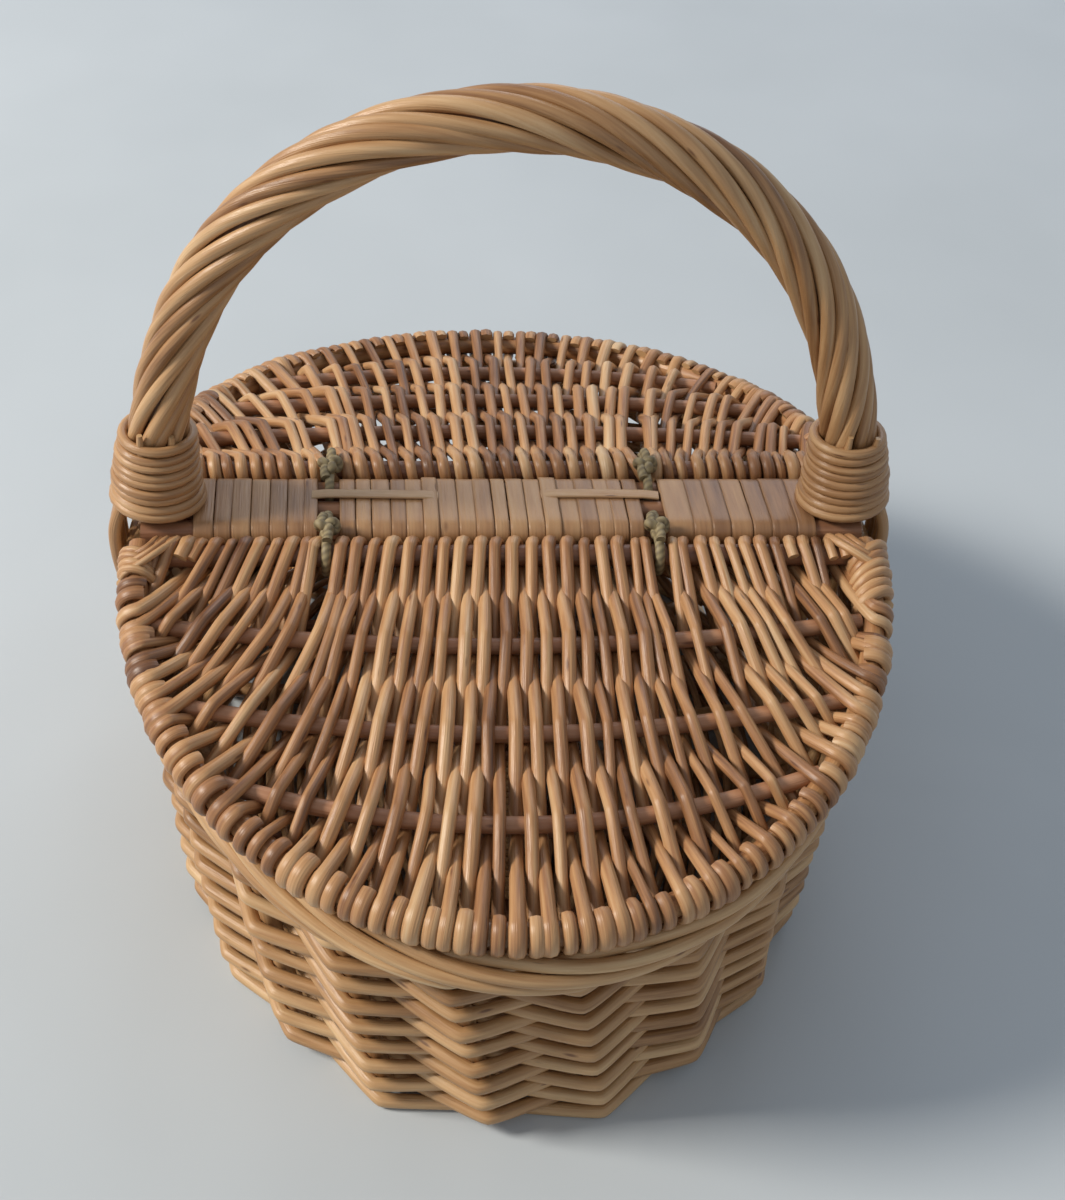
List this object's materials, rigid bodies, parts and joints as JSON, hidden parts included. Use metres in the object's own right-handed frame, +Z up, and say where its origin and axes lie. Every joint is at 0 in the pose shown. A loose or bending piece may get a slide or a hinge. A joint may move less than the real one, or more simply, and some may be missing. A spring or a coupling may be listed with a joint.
{
  "type": "picnic basket",
  "caption": "Oval willow picnic basket with a tall roped bow handle over a wrapped centre bar, and a woven lid hinged by cord ties on each side of the bar.",
  "frame": {"origin": "middle of the floor face, under the middle of the bar", "axes": "+X along the bar and handle, +Y from the front lid to the rear lid, +Z up"},
  "size_m": [0.325, 0.4082, 0.342],
  "materials": {
    "wall_willow": "satin",
    "lid_willow": "satin",
    "handle_willow": "satin",
    "stick_willow": "satin",
    "skein": "satin",
    "tie_cord": "matte"
  },
  "bodies": {
    "basket": {"bar_listing_left": "skein", "bar_listing_right": "skein", "bar_rod_front": "stick_willow", "bar_rod_middle": "stick_willow", "bar_rod_rear": "stick_willow", "bar_wrap_left": "skein", "bar_wrap_middle": "skein", "bar_wrap_right": "skein", "base_sticks_long": "wall_willow", "base_sticks_short": "wall_willow", "base_weave": "wall_willow", "border": "wall_willow", "foot_wale": "wall_willow", "handle_bow": "handle_willow", "handle_foot_wrap_left": "handle_willow", "handle_foot_wrap_right": "handle_willow", "handle_liners_left": "handle_willow", "handle_liners_right": "handle_willow", "handle_roping": "handle_willow", "hinge_tie_front_left": "tie_cord", "hinge_tie_front_right": "tie_cord", "hinge_tie_rear_left": "tie_cord", "hinge_tie_rear_right": "tie_cord", "siding": "wall_willow", "stakes": "wall_willow"},
    "front_lid": {"front_lid_corner_wrap_left": "lid_willow", "front_lid_corner_wrap_right": "lid_willow", "front_lid_hinge_rod": "stick_willow", "front_lid_hoop": "lid_willow", "front_lid_sticks": "stick_willow", "front_lid_weave": "lid_willow"},
    "rear_lid": {"rear_lid_corner_wrap_left": "lid_willow", "rear_lid_corner_wrap_right": "lid_willow", "rear_lid_hinge_rod": "stick_willow", "rear_lid_hoop": "lid_willow", "rear_lid_sticks": "stick_willow", "rear_lid_weave": "lid_willow"}
  },
  "joints": [
    {"name": "front_lid_hinge", "type": "hinge", "parent": "basket", "child": "front_lid", "pos_m": [0, -0.0288, 0.156], "axis": [-1, 0, 0], "range_deg": [0, 90]},
    {"name": "rear_lid_hinge", "type": "hinge", "parent": "basket", "child": "rear_lid", "pos_m": [0, 0.0288, 0.156], "axis": [1, 0, 0], "range_deg": [0, 90]}
  ]
}
